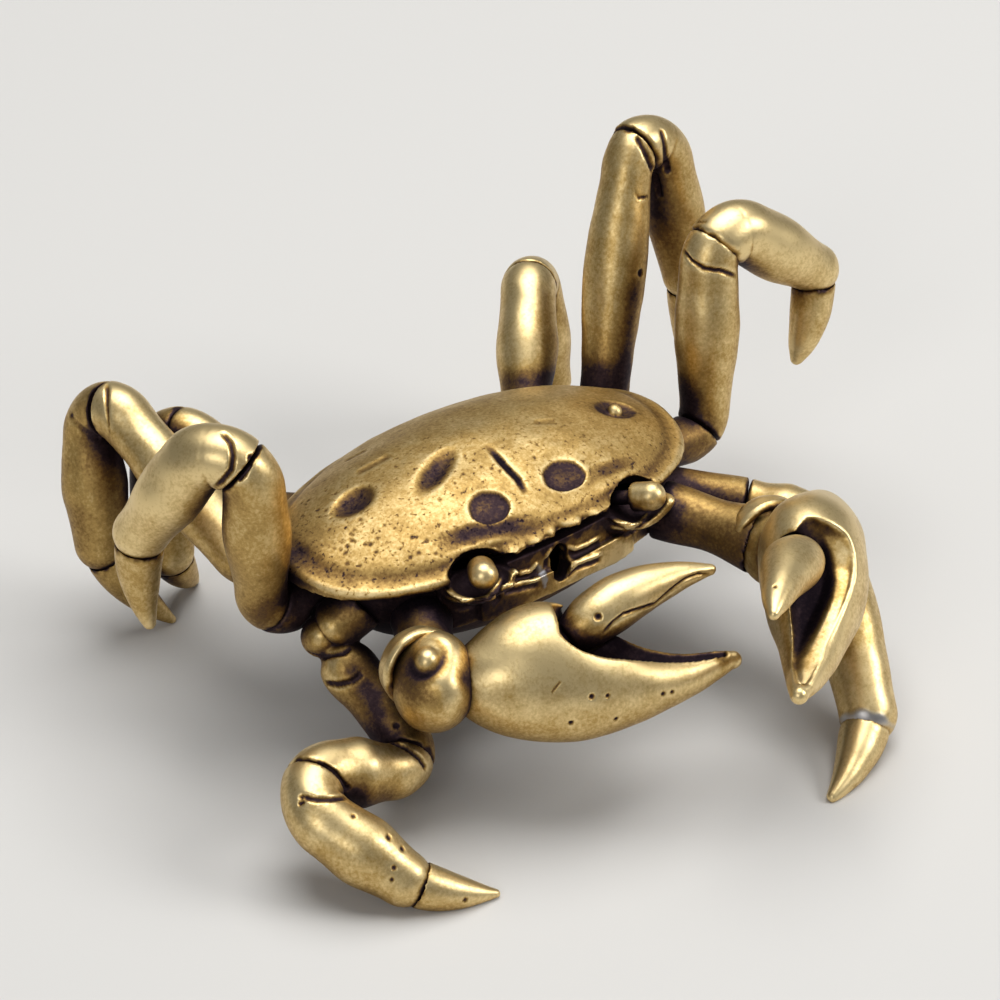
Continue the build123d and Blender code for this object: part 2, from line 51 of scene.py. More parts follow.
# The photograph's camera, and where the body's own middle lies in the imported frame
BODY_MIDDLE = (-5.086, 6.185, 0.0)
LOOK_HEIGHT = 14.0
CAMERA_AZIMUTH = -38.0
CAMERA_ELEVATION = 36.0
CAMERA_DISTANCE = 300.0
CAMERA_LENS = 129.6
CAMERA_SENSOR = 36.0
CAMERA_SHIFT = (0.0378, 0.0033)
PHOTO_SIZE = 1000         # pixels

# The body's outline, as its pieces were drawn
HALF_WIDTH = 18.7
FRONT_REACH = 10.8
BACK_REACH = 12.0
WIDEST_Y = -2.5
OUTLINE_POWER = 2.45
RIM_HEIGHT = 17.6
RIM_DROP = 1.3            # thickness of the solid's front lip
BODY_PITCH = 7.0          # nose up, degrees

# How the pieces are refined
SKIN = 0.16               # size of the skin's facets
FINE_SKIN = 0.13          # the same on the face, the eyes and the claws
SAME_POINT = 1e-4         # corners nearer than this are one
SOFTENING = 5             # rounds of smoothing, as tumbling softens a casting
SKIN_GAP = 0.5            # a piece this far behind another is hidden by it
PATH_STEP = 1.5           # pixels between the points of a line


def linear(hex_colour):
    """An sRGB hex colour as linear red, green, blue and alpha."""
    values = [int(hex_colour[place:place + 2], 16) / 255 for place in (1, 3, 5)]
    return tuple(v / 12.92 if v <= 0.04045 else ((v + 0.055) / 1.055) ** 2.4 for v in values) + (1.0,)


def add(tree, kind, links=None, values=None, **settings):
    """Adds a node with its properties, the values of its sockets and the outputs linked to them."""
    made = tree.nodes.new(kind)
    for name, value in settings.items():
        setattr(made, name, value)
    for socket, value in (values or {}).items():
        made.inputs[socket].default_value = value
    for socket, source in (links or {}).items():
        tree.links.new(source, made.inputs[socket])
    return made


# Tones, patterns and gloss of the brass, from rubbed bright to black
PATINA_TONES = [(0.0, "#EBD29A"), (0.25, "#BC9C5E"), (0.5, "#80633B"), (0.75, "#443538"), (1.0, "#261E25")]
SOLDER_GREY = "#A3A5AC"
BLOTCH_WIDTH = 2.5        # of the places where the rubbing was uneven
BLOTCH_STRENGTH = 0.44
GRAIN_WIDTH = 1 / 3.3     # of the casting skin's grain
GRAIN_STRENGTH = 0.48
PORE_SPACING = 1 / 2.6    # of the irregular pits in the casting skin
PORE_STRENGTH = 0.42
PORE_START = 0.58         # of the noise's height, where a pit begins
PORE_END = 0.72           # the same where it is deepest
POLISHED_ROUGHNESS = 0.39
PATINA_ROUGHNESS = 0.66
PITTED_ROUGHNESS = 0.10   # added where the skin is pitted
GRAIN_RELIEF = 0.05
GRAIN_RELIEF_SHARE = 0.3
# Width of a pattern, how many finer layers it has and how strong they are
NOISES = [(BLOTCH_WIDTH, 4.0, 0.6), (GRAIN_WIDTH, 3.0, 0.65), (PORE_SPACING, 3.0, 0.55)]


# Antique cast brass, blackened and rubbed back: hollows stay purple-black, high spots shine pale gold
def antique_brass():
    made = bpy.data.materials.new("antique cast brass")
    made.use_nodes = True
    tree = made.node_tree
    tree.nodes.clear()
    place = add(tree, "ShaderNodeTexCoord").outputs["Object"]
    # the darkness read here is the patina with painted shade and painted light laid into it
    dark, pitted, solder = (add(tree, "ShaderNodeAttribute", attribute_name=name).outputs["Fac"]
                            for name in ("patina_and_painted_light", "pitted", "solder"))
    noises = []
    for width, detail, rough in NOISES:
        noise = add(tree, "ShaderNodeTexNoise", {"Vector": place},
                    {"Scale": 1 / (width * MM), "Detail": detail, "Roughness": rough})
        noises.append(noise.outputs["Fac"])
    blotch, grain, pores = noises
    uneven = add(tree, "ShaderNodeMath", {0: blotch}, {1: BLOTCH_STRENGTH, 2: -BLOTCH_STRENGTH / 2},
                 operation="MULTIPLY_ADD")
    speck = add(tree, "ShaderNodeMath", {0: grain}, {1: GRAIN_STRENGTH, 2: -GRAIN_STRENGTH / 2},
                operation="MULTIPLY_ADD")
    tone = add(tree, "ShaderNodeMath", {0: dark, 1: uneven.outputs[0]}, operation="ADD")
    tone = add(tree, "ShaderNodeMath", {0: tone.outputs[0], 1: speck.outputs[0]},
               operation="ADD", use_clamp=True)
    pore = add(tree, "ShaderNodeMapRange", {"Value": pores},
               {"From Min": PORE_START, "From Max": PORE_END, "To Min": 0.0, "To Max": PORE_STRENGTH})
    pore = add(tree, "ShaderNodeMath", {0: pore.outputs[0], 1: pitted}, operation="MULTIPLY").outputs[0]
    tone = add(tree, "ShaderNodeMath", {0: tone.outputs[0], 1: pore}, operation="ADD", use_clamp=True)
    tone = tone.outputs[0]
    colour = add(tree, "ShaderNodeValToRGB", {"Fac": tone})
    stops = colour.color_ramp.elements
    while len(stops) < len(PATINA_TONES):
        stops.new(0.5)
    for stop, (share, shade) in zip(stops, PATINA_TONES):
        stop.position = share
        stop.color = linear(shade)
    # sockets 0, 6 and 7 of the mix are its share and its two colours, and output 2 is the mixed colour
    mixed = add(tree, "ShaderNodeMix", {0: solder, 6: colour.outputs[0]}, {7: linear(SOLDER_GREY)},
                data_type="RGBA")
    gloss = add(tree, "ShaderNodeMapRange", {"Value": tone},
                {"From Min": 0.0, "From Max": 1.0, "To Min": POLISHED_ROUGHNESS, "To Max": PATINA_ROUGHNESS})
    gloss = add(tree, "ShaderNodeMath", {0: pitted, 2: gloss.outputs[0]}, {1: PITTED_ROUGHNESS},
                operation="MULTIPLY_ADD")
    height = add(tree, "ShaderNodeMath", {0: pore, 2: grain}, {1: -1.0}, operation="MULTIPLY_ADD")
    bump = add(tree, "ShaderNodeBump", {"Height": height.outputs[0]},
               {"Strength": GRAIN_RELIEF_SHARE, "Distance": GRAIN_RELIEF * MM})
    shader = add(tree, "ShaderNodeBsdfPrincipled",
                 {"Base Color": mixed.outputs[2], "Roughness": gloss.outputs[0], "Normal": bump.outputs[0]},
                 {"Metallic": 1.0})
    add(tree, "ShaderNodeOutputMaterial", {"Surface": shader.outputs[0]})
    return made


def object_from(shape, name):
    """An object at the origin with the shape of a bmesh, which it frees."""
    mesh = bpy.data.meshes.new(name)
    shape.to_mesh(mesh)
    shape.free()
    made = bpy.data.objects.new(name, mesh)
    bpy.context.scene.collection.objects.link(made)
    return made


def refined(node, skin):
    """A finer copy of one cast piece with its corners softened."""
    shape = bmesh.new()
    shape.from_mesh(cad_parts[node].data)
    bmesh.ops.remove_doubles(shape, verts=shape.verts, dist=SAME_POINT * MM)
    piece = object_from(shape, "cast_" + node)
    coarse = piece.data
    even = piece.modifiers.new("even skin", "REMESH")
    even.mode = "VOXEL"
    even.voxel_size = skin * MM
    soft = piece.modifiers.new("softened", "SMOOTH")
    soft.factor = 0.5
    soft.iterations = SOFTENING
    ready = piece.evaluated_get(bpy.context.evaluated_depsgraph_get())
    fine = bpy.data.meshes.new_from_object(ready)
    piece.modifiers.clear()
    piece.data = fine
    bpy.data.meshes.remove(coarse)
    fine.materials.clear()
    fine.shade_smooth()
    return piece


def rows_of(items, name, width, kind=np.float32):
    """One property of all the points or edges of a mesh, a row for each."""
    values = np.empty(len(items) * width, kind)
    items.foreach_get(name, values)
    return values.reshape(-1, width)


def spread(values, edges, rounds):
    """Averages values over the skin's edges, a little further each round."""
    count = np.bincount(edges.ravel(), minlength=len(values)).astype(float)
    count[count == 0] = 1
    columns = values.reshape(len(values), -1)
    for _ in range(rounds):
        total = np.zeros_like(columns)
        for here, there in ((0, 1), (1, 0)):
            for column in range(columns.shape[1]):
                beside = columns[edges[:, there], column]
                total[:, column] += np.bincount(edges[:, here], beside, minlength=len(values))
        columns = 0.5 * columns + 0.5 * (total / count[:, None])
    return columns.reshape(values.shape)


def smooth_step(share):
    """A share from 0 to 1 that starts and ends gently."""
    return share * share * (3 - 2 * share)


def bell(values, middle, half_width):
    """1 at the middle, falling off softly on both sides."""
    return np.exp(-((values - middle) / half_width) ** 2)


def search_tree(nodes):
    """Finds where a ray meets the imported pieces."""
    whole = bmesh.new()
    for node in nodes:
        whole.from_mesh(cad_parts[node].data)
    tree = BVHTree.FromBMesh(whole)
    whole.free()
    return tree


solids = search_tree(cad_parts)
search = {node: search_tree([node]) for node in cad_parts}

# The camera's place and its directions
azimuth = math.radians(CAMERA_AZIMUTH)
elevation = math.radians(CAMERA_ELEVATION)
AWAY = Vector((math.sin(azimuth) * math.cos(elevation), -math.cos(azimuth) * math.cos(elevation),
               math.sin(elevation)))
LOOK = (Vector(BODY_MIDDLE) + Vector((0, 0, LOOK_HEIGHT))) * MM
EYE = LOOK + AWAY * (CAMERA_DISTANCE * MM)
ACROSS = (-AWAY).cross(Vector((0, 0, 1))).normalized()
UPWARD = ACROSS.cross(-AWAY)


def seen(node, pixel):
    """Where a line of sight meets a piece, or nothing where another piece is in front of it."""
    wide = (pixel[0] / PHOTO_SIZE - 0.5 + CAMERA_SHIFT[0]) * CAMERA_SENSOR
    high = (0.5 - pixel[1] / PHOTO_SIZE + CAMERA_SHIFT[1]) * CAMERA_SENSOR
    ray = (-AWAY * CAMERA_LENS + ACROSS * wide + UPWARD * high).normalized()
    place, _, _, far = search[node].ray_cast(EYE, ray)
    first = solids.ray_cast(EYE, ray)[3]
    if place is None or far > first + SKIN_GAP * MM:
        return None
    return np.array(place)


def project(points):
    """Pixels of the photograph on which points fall, and how far they lie from the camera in metres."""
    rays = points - np.array(EYE)
    depth = -(rays @ np.array(AWAY))
    wide = rays @ np.array(ACROSS) / depth * CAMERA_LENS / CAMERA_SENSOR
    high = rays @ np.array(UPWARD) / depth * CAMERA_LENS / CAMERA_SENSOR
    return (wide + 0.5 - CAMERA_SHIFT[0]) * PHOTO_SIZE, (0.5 + CAMERA_SHIFT[1] - high) * PHOTO_SIZE, depth


class Casting:
    """One refined piece while it is worked on: its points, its normals and the marks on it."""

    def __init__(self, node, piece):
        self.node = node
        self.piece = piece
        self.points = rows_of(piece.data.vertices, "co", 3).astype(float)
        self.first = self.points.copy()
        self.edges = rows_of(piece.data.edges, "vertices", 2, np.int32)
        self.turn_normals()
        self.ink = np.zeros(len(self.points))
        self.pitted = np.zeros(len(self.points))
        self.solder = np.zeros(len(self.points))
        self.darkest = np.ones(len(self.points))

    def turn_normals(self):
        """Writes the points to the mesh and reads their new normals."""
        mesh = self.piece.data
        mesh.vertices.foreach_set("co", self.points.astype(np.float32).ravel())
        mesh.update()
        self.normals = rows_of(mesh.vertex_normals, "vector", 3).astype(float)

    def smooth(self, share, rounds):
        """Softens the skin where the share is above 0."""
        soft = spread(self.points, self.edges, rounds)
        self.points += (soft - self.points) * share[:, None]
        self.turn_normals()

    def move(self, share, amount):
        """Moves points along their normals, outward when the amount is positive."""
        self.points += self.normals * (share * amount * MM)[:, None]

    def distance(self, path, reach):
        """How far every point is from a path, and the share of the path where it is nearest."""
        path = np.array(path)
        least = np.full(len(self.points), np.inf)
        where = np.zeros(len(self.points))
        room = reach * MM
        near = np.all((self.points > path.min(0) - room) & (self.points < path.max(0) + room), axis=1)
        near = np.flatnonzero(near)
        if len(near):
            gaps = np.linalg.norm(self.points[near][:, None] - path[None], axis=2) / MM
            nearest = gaps.argmin(axis=1)
            least[near] = gaps[np.arange(len(near)), nearest]
            where[near] = nearest / max(1, len(path) - 1)
        return least, where

    def path(self, pixels):
        """Points on the piece along a line drawn on the photograph."""
        places = []
        for first, last in zip(pixels, pixels[1:]):
            steps = max(2, int(math.dist(first, last) / PATH_STEP))
            for step in range(steps):
                share = step / steps
                hit = seen(self.node, (first[0] + share * (last[0] - first[0]),
                                       first[1] + share * (last[1] - first[1])))
                if hit is not None:
                    places.append(hit)
        return places

    def chase(self, pixels, half_width, depth, ink, taper=0.15):
        """Cuts a line, or raises one when the depth is negative, that fades out at its ends."""
        path = self.path(pixels)
        if not path:
            return
        far, where = self.distance(path, half_width)
        ends = np.clip(np.minimum(where, 1 - where) / taper, 0, 1)
        share = np.clip(1 - (far / half_width) ** 2, 0, 1) * ends
        self.move(share, -depth)
        self.ink = np.maximum(self.ink, share * ink) if depth > 0 else self.ink - share * ink
        self.turn_normals()

    def press(self, pixel, radius, depth, ink=0.6):
        """Presses a round dimple."""
        hit = seen(self.node, pixel)
        if hit is None:
            return
        far = np.linalg.norm(self.points - hit, axis=1) / MM
        share = np.clip(1 - (far / radius) ** 2, 0, 1)
        self.move(share, -depth)
        self.ink = np.maximum(self.ink, share * ink)

    def swell(self, pixel, radius, height, stain=0.0):
        """Swells a broad soft bump, or slims it when the height is negative, and darkens it by the stain,
        lightening it where that is negative; on the wrist this is painted shade and painted highlight.
        """
        hit = seen(self.node, pixel)
        if hit is None:
            return
        far = np.linalg.norm(self.points - hit, axis=1) / MM
        share = bell(far, 0, radius)
        self.move(share, height)
        self.ink += share * stain
        self.turn_normals()

    def uneven(self, waves):
        """Low waves of a casting that was modelled by hand in wax."""
        total = np.zeros(len(self.points))
        for way, length, phase, height in waves:
            total += height * np.sin(self.points @ way * (2 * math.pi / (length * MM)) + phase)
        self.move(total, 1.0)
        self.turn_normals()


# How dark the skin grows: patina where other walls cover a point and in hollows, and on what faces down
# painted shade, standing in for a dark reflection from below, over the patina left there
COVER_REACH = 7.0         # how far off a wall still covers
COVER_RAYS = 14
FAN_LOW = 0.12            # rays rise by this share of their length, or by up to so much more
FAN_RISE = 0.86
GOLDEN_ANGLE = 2.399963   # radians from one ray to the next, which spreads them evenly
RAY_START = 0.3           # above the skin
RAY_EVERY = 9             # one point in so many sends rays
COVER_SPREAD = 10         # rounds that carry their result to the points between
LEAST_WEIGHT = 1e-4       # of the results that reach a point
COVER_SOFTENING = 4
COVER_FREE = 0.03         # cover that leaves no patina
HOLLOW_ROUNDS = 12        # of smoothing, which tell how deep a hollow is
HOLLOW_SHADE = 5.0        # patina for each millimetre of hollow
HOLLOW_LEAST = -0.05
HOLLOW_MOST = 0.09
# painted shade on faces turned down, standing in for a dark reflection, over their patina
UNDERSIDE_SHADE = 0.44


def ray_fan():
    """Directions spread evenly over the half sphere above +Z."""
    fan = []
    for number in range(COVER_RAYS):
        height = FAN_LOW + FAN_RISE * (number + 0.5) / COVER_RAYS
        turn = number * GOLDEN_ANGLE
        flat = math.sqrt(1 - height * height)
        fan.append(Vector((flat * math.cos(turn), flat * math.sin(turn), height)))
    return fan


FAN = ray_fan()


def closeness(points, normals):
    """How much of the sky above each point the ornament itself covers, 0 to 1."""
    reach = COVER_REACH * MM
    covered = np.zeros(len(points))
    for number, (point, normal) in enumerate(zip(points, normals)):
        up = Vector(normal)
        turn = up.to_track_quat("Z", "Y")
        start = Vector(point) + up * (RAY_START * MM)
        hits = 0.0
        for ray in FAN:
            distance = solids.ray_cast(start, turn @ ray, reach)[3]
            if distance is not None:
                hits += 1 - distance / reach
        covered[number] = hits / len(FAN)
    return covered


def patina_and_painted_light(casting, first_dark, shade):
    """Stores how dark each point of a piece is, from its patina and from painted shade on what faces down,
    and its other marks.
    """
    points = casting.points
    normals = casting.normals
    edges = casting.edges
    # where a piece was slimmed, the rays start from its packed skin, which would hide them otherwise
    slimmed = np.einsum("ij,ij->i", points - casting.first, normals) < 0
    start = np.where(slimmed[:, None], casting.first, points)
    known = np.zeros(len(points))
    known[::RAY_EVERY] = closeness(start[::RAY_EVERY], normals[::RAY_EVERY])
    weight = np.zeros(len(points))
    weight[::RAY_EVERY] = 1.0
    weight = spread(weight, edges, COVER_SPREAD)
    covered = spread(known, edges, COVER_SPREAD) / np.maximum(weight, LEAST_WEIGHT)
    covered = spread(covered, edges, COVER_SOFTENING)
    soft = spread(points, edges, HOLLOW_ROUNDS)
    hollow = -np.einsum("ij,ij->i", points - soft, normals) / MM
    hollow = spread(hollow, edges, 1)
    # how far each point faces down, where painted shade is added
    turned = (1 - normals[:, 2]) / 2
    dark = (first_dark + shade * np.clip(covered - COVER_FREE, 0, 1)
            + HOLLOW_SHADE * np.clip(hollow, HOLLOW_LEAST, HOLLOW_MOST)
            + UNDERSIDE_SHADE * turned + casting.ink)
    dark = np.minimum(dark, casting.darkest)
    for name, values in (("patina_and_painted_light", dark), ("pitted", casting.pitted), ("solder", casting.solder)):
        layer = casting.piece.data.attributes.new(name, "FLOAT", "POINT")
        layer.data.foreach_set("value", np.clip(values, 0, 1).astype(np.float32))


# The casting's low waves, longest first: length, height
WAVE_SIZES = [(11.0, 0.06), (8.0, 0.05), (6.0, 0.035), (4.5, 0.02), (3.2, 0.012), (2.3, 0.008)]
BODY_NODES = ("carapace", "face", "underbody", "eye_right", "eye_left")
draw = np.random.default_rng(7)
WAVES = []
for length, height in WAVE_SIZES:
    way = draw.normal(size=3)
    WAVES.append((way / np.linalg.norm(way), length, draw.uniform(0, 6.28), height))
BODY_WAVES = WAVES[2:]
COLLAR_WAVES = WAVES[3:]


# Carapace, with places in the body's level frame: across, and back from its widest line
UPPER_SLOPE = 4           # how soon a slope counts as the upper side
FULLER_FROM = -12.5       # where the right side begins to be fuller than the solid's
FULLER_OVER = 6.2
FULLER_BY = 0.7
# The front lip between the eyes: the ring where it begins and over what, its half width and over what
LIP_SMOOTHED = (0.86, 0.06, 6.6, 0.8)
LIP_THINNED = (0.80, 0.08, 6.9, 0.9)
LIP_ROUNDS = 70           # of smoothing before the lip is thinned, and after
LIP_LAST_ROUNDS = 4
LIP_TOP = 0.1             # below the rim, where the thinning begins
LIP_EDGE = 0.45           # depth of the thinned lip's edge below the rim
LIP_EDGE_WAVES = [(0.14, 2.1, 0.5), (0.1, 4.7, 1.0)]  # height, radians to the millimetre, start
LIP_NOTCHES = [(-0.3, 0.45, 1.0), (-3.4, 0.3, 0.4), (2.2, 0.35, 0.5)]  # place, half width, share of the depth
LIP_RIPPLE = 0.2          # share of the depth, with so many radians to the millimetre
LIP_RIPPLE_RATE = 2.9
NOTCH_DEPTH = 0.55
NOTCH_RING = 0.93
NOTCH_OVER = 0.05
# The solid's two spots and its middle hollow, which the photograph has further forward
SOLID_SPOT_SPACING = 7.5
SOLID_SPOT_PLACE = 0.58   # ahead of the widest line, as a share of the front reach
SOLID_SPOT_DEPTH = 0.55
SOLID_SPOT_EDGE = 1.66
SOLID_SPOT_WALL = 0.12
SOLID_SPOT_ABOVE = 2.0    # the rim
SPOT_SMOOTHED = 2.9       # from a spot's middle, where the smoothing ends
SPOT_SMOOTHED_ABOVE = 1.0
SPOT_ROUNDS = 90
SOLID_HOLLOW = ((-4.1, 0.72), (2.9, 1.4))  # middle, half sizes
SOLID_HOLLOW_DEPTH = 0.5
HOLLOW_SMOOTHED = 2.2     # share of the smoothing at its middle, which falls by so much to its edge
HOLLOW_SMOOTHED_FALL = 1.4
HOLLOW_SMOOTHED_ROUNDS = 40
# The middle hollow as the photograph shows it
MIDDLE_HOLLOW = ((-5.6, -1.7), (2.7, 1.3), 0.35)  # middle, half sizes, slant
MIDDLE_HOLLOW_END = 1.5   # square of its reach in half sizes
MIDDLE_HOLLOW_DEPTH = 0.5
MIDDLE_HOLLOW_INK = 0.62
MIDDLE_HOLLOW_RELIEF = 0.32  # how far its darkest tone stays from black
SIDE_HOLLOWS = [((-12.15, 0.84), (1.7, 1.4)), ((13.1, -1.85), (2.2, 1.7))]
SIDE_HOLLOW_END = 1.6     # square of its stain's reach in half sizes
SIDE_HOLLOW_INK = 0.5
SIDE_HOLLOW_RELIEF = 0.28
HOLLOW_EDGE = 1.6         # in half sizes, where a hollow's lighter black and its smoothing end
RIGHT_HOLLOW_SMOOTHED = (2.2, 1.8)
RIGHT_HOLLOW_ROUNDS = 12
# The skin is more pitted towards the front and the right
PITTED_LEAST = 0.35
PITTED_FROM = 4.0
PITTED_OVER = 10
PITTED_SLANT = 0.35
# Bead and groove along the rim: ring, half width, height
RIM_BEAD = (0.985, 0.022, 0.16)
RIM_GROOVE = (0.925, 0.03, -0.14)
RIM_GROOVE_STAIN = (0.925, 0.04, 0.14)
# Chased lines: line on the photograph, half width, depth, ink, share of its length that fades out
CARAPACE_LINES = [
    ([(486, 444), (503, 463), (518, 478), (528, 497)], 0.38, 0.26, 0.6, 0.3),
    ([(344, 461), (369, 448)], 0.5, 0.08, 0.1, 0.15),
    ([(355, 474), (393, 454)], 0.5, 0.09, 0.12, 0.15),
    ([(533, 422), (558, 421)], 0.5, 0.06, 0.1, 0.15),
    ([(434, 546), (476, 532), (530, 523), (545, 516)], 1.0, 0.12, 0.52, 0.3),
    ([(575, 488), (599, 472), (625, 463), (654, 460)], 0.8, 0.1, 0.3, 0.4),
]
# The two crisp spots: middle and half sizes on the photograph
SPOTS = [((489, 507), (20.5, 16.0)), ((564, 475), (21.0, 15.2))]
SPOT_EDGE = 1.06          # in half sizes, and the share of them that the wall takes
SPOT_WALL = 0.15
SPOT_BULGE = 0.02         # share by which its edge bulges in three places, and ripples in seven
SPOT_RIPPLE = 0.012
SPOT_DEPTH = 0.32
SPOT_INK = 0.5
SPOT_DARKEST = 0.8
SPOT_PITS_LOST = 0.6
SPOT_ABOVE_RIM = 0.3
# Specks of the casting skin: middle and spread on the photograph, how many
SPECKS = [((350, 545), (30, 15), 60), ((440, 545), (22.5, 7), 22), ((320, 515), (15, 12.5), 20),
          ((500, 485), (35, 22.5), 18)]
SPECK_RADII = (0.12, 0.26)
SPECK_DEPTHS = (0.02, 0.06)
SPECK_INK = 0.3


def body_frame(points):
    """Points in millimetres in the level frame of the un-pitched body, its widest line at y = 0."""
    local = points / MM - np.array(BODY_MIDDLE) - np.array((0.0, WIDEST_Y, RIM_HEIGHT))
    turn = math.radians(BODY_PITCH)
    y = local[:, 1] * math.cos(turn) - local[:, 2] * math.sin(turn)
    z = local[:, 1] * math.sin(turn) + local[:, 2] * math.cos(turn)
    return np.stack([local[:, 0], y, z], axis=1)


def body_ring(local):
    """How far out a point lies, 0 in the body's middle and 1 on its outline."""
    reach = np.where(local[:, 1] > 0, BACK_REACH, FRONT_REACH)
    return ((np.abs(local[:, 0]) / HALF_WIDTH) ** OUTLINE_POWER
            + (np.abs(local[:, 1]) / reach) ** OUTLINE_POWER) ** (1 / OUTLINE_POWER)


def oval(local, middle, halves, slant=0.0):
    """Distance from the middle of an oval, 1 on its edge."""
    aside = local[:, 0] - middle[0]
    along = local[:, 1] - middle[1] - slant * aside
    return np.hypot(aside / halves[0], along / halves[1])


def lip_share(local, ring, start, over, half_width, side_over):
    """1 on the front lip between the eyes, 0 elsewhere."""
    outer = np.clip((ring - start) / over, 0, 1)
    inside = np.clip((half_width - np.abs(local[:, 0])) / side_over, 0, 1)
    return outer * inside * (local[:, 1] < 0)


def thin_lip(casting, local, ring):
    """A thinner front lip with an uneven, notched edge."""
    across = local[:, 0]
    casting.smooth(lip_share(local, ring, *LIP_SMOOTHED), LIP_ROUNDS)
    edge = -LIP_EDGE
    for height, rate, start in LIP_EDGE_WAVES:
        edge = edge + height * np.sin(rate * across + start)
    kept = (edge + LIP_TOP) / -(RIM_DROP - LIP_TOP)
    lift = np.clip(-LIP_TOP - local[:, 2], 0, None) * (1 - kept)
    lip = lip_share(local, ring, *LIP_THINNED)
    casting.points[:, 2] += lip * lift * MM
    notch = LIP_RIPPLE * np.sin(LIP_RIPPLE_RATE * across)
    for place, half_width, share in LIP_NOTCHES:
        notch += share * bell(across, place, half_width)
    outer = np.clip((ring - NOTCH_RING) / NOTCH_OVER, 0, 1) * (lip > 0.5)
    casting.points[:, 1] += NOTCH_DEPTH * MM * notch * outer
    casting.smooth(lip, LIP_LAST_ROUNDS)


def level_solid_marks(casting, local, upper, flat):
    """Fills the solid's spots and its middle hollow."""
    for side in (-1, 1):
        far = np.hypot(local[:, 0] - side * SOLID_SPOT_SPACING / 2,
                       local[:, 1] + SOLID_SPOT_PLACE * FRONT_REACH)
        filled = np.clip((SOLID_SPOT_EDGE - far) / SOLID_SPOT_WALL, 0, 1) * (local[:, 2] > SOLID_SPOT_ABOVE)
        casting.points += flat * (filled * SOLID_SPOT_DEPTH * MM)[:, None]
        softened = np.clip(SPOT_SMOOTHED - far, 0, 1) * (local[:, 2] > SPOT_SMOOTHED_ABOVE)
        casting.smooth(softened, SPOT_ROUNDS)
    far = oval(local, *SOLID_HOLLOW)
    casting.move(upper * np.sqrt(np.clip(1 - far * far, 0, 1)), SOLID_HOLLOW_DEPTH)
    casting.smooth(np.clip(HOLLOW_SMOOTHED - HOLLOW_SMOOTHED_FALL * far, 0, 1), HOLLOW_SMOOTHED_ROUNDS)


def press_hollows(casting, local, upper):
    """The three soft hollows with their stains."""
    far = oval(local, *MIDDLE_HOLLOW)
    soft_edge = np.clip(1 - far * far / MIDDLE_HOLLOW_END, 0, 1) ** 2
    casting.move(upper * soft_edge, -MIDDLE_HOLLOW_DEPTH)
    casting.ink += MIDDLE_HOLLOW_INK * upper * soft_edge
    casting.darkest -= MIDDLE_HOLLOW_RELIEF * upper * (far < HOLLOW_EDGE)
    for middle, halves in SIDE_HOLLOWS:
        far = oval(local, middle, halves)
        casting.ink += SIDE_HOLLOW_INK * upper * np.clip(1 - far * far / SIDE_HOLLOW_END, 0, 1)
        casting.darkest -= SIDE_HOLLOW_RELIEF * upper * (far < HOLLOW_EDGE)
    far = oval(local, SIDE_HOLLOWS[0][0], RIGHT_HOLLOW_SMOOTHED)
    casting.smooth(np.clip(HOLLOW_EDGE - far, 0, 1), RIGHT_HOLLOW_ROUNDS)


def press_spots(casting, upper, flat):
    """The two crisp round spots, a little uneven as a punch leaves them."""
    across, down, _ = project(casting.points)
    on_top = upper * (body_frame(casting.points)[:, 2] > SPOT_ABOVE_RIM)
    for (middle, level), (half_wide, half_high) in SPOTS:
        aside = (across - middle) / half_wide
        below = (down - level) / half_high
        turn = np.arctan2(below, aside)
        wobble = 1 + SPOT_BULGE * np.sin(3 * turn + middle) + SPOT_RIPPLE * np.sin(7 * turn)
        far = np.hypot(aside, below) * wobble
        disc = np.clip((SPOT_EDGE - far) / SPOT_WALL, 0, 1) * on_top
        casting.points -= flat * (disc * SPOT_DEPTH * MM)[:, None]
        casting.ink += SPOT_INK * disc
        casting.darkest = np.where(disc > 0, SPOT_DARKEST, casting.darkest)
        casting.pitted *= 1 - SPOT_PITS_LOST * disc
    casting.turn_normals()


def speckle(casting):
    """Small dimples of the casting skin, scattered where the photograph has them."""
    for (middle, level), (wide, high), count in SPECKS:
        for _ in range(count):
            pixel = (middle + wide * draw.normal(), level + high * draw.normal())
            if seen(casting.node, pixel) is not None:
                radius = draw.uniform(*SPECK_RADII)
                casting.press(pixel, radius, draw.uniform(*SPECK_DEPTHS), SPECK_INK)
    casting.turn_normals()


def chase_carapace(casting):
    local = body_frame(casting.points)
    ring = body_ring(local)
    upper = np.clip(casting.normals[:, 2] * UPPER_SLOPE, 0, 1)
    fuller = np.clip((FULLER_FROM - local[:, 0]) / FULLER_OVER, 0, 1)
    casting.points[:, 0] -= FULLER_BY * MM * smooth_step(fuller)
    thin_lip(casting, local, ring)
    flat = casting.normals[upper > 0.5].mean(axis=0)
    level_solid_marks(casting, local, upper, flat)
    press_hollows(casting, local, upper)
    forward = np.clip((PITTED_FROM - local[:, 1] - PITTED_SLANT * local[:, 0]) / PITTED_OVER, 0, 1)
    casting.pitted = upper * (PITTED_LEAST + (1 - PITTED_LEAST) * forward)
    for place, half_width, height in (RIM_BEAD, RIM_GROOVE):
        casting.move(upper * bell(ring, place, half_width), height)
    place, half_width, stain = RIM_GROOVE_STAIN
    casting.ink += stain * upper * bell(ring, place, half_width)
    casting.turn_normals()
    for line in CARAPACE_LINES:
        casting.chase(*line)
    press_spots(casting, upper, flat)
    speckle(casting)


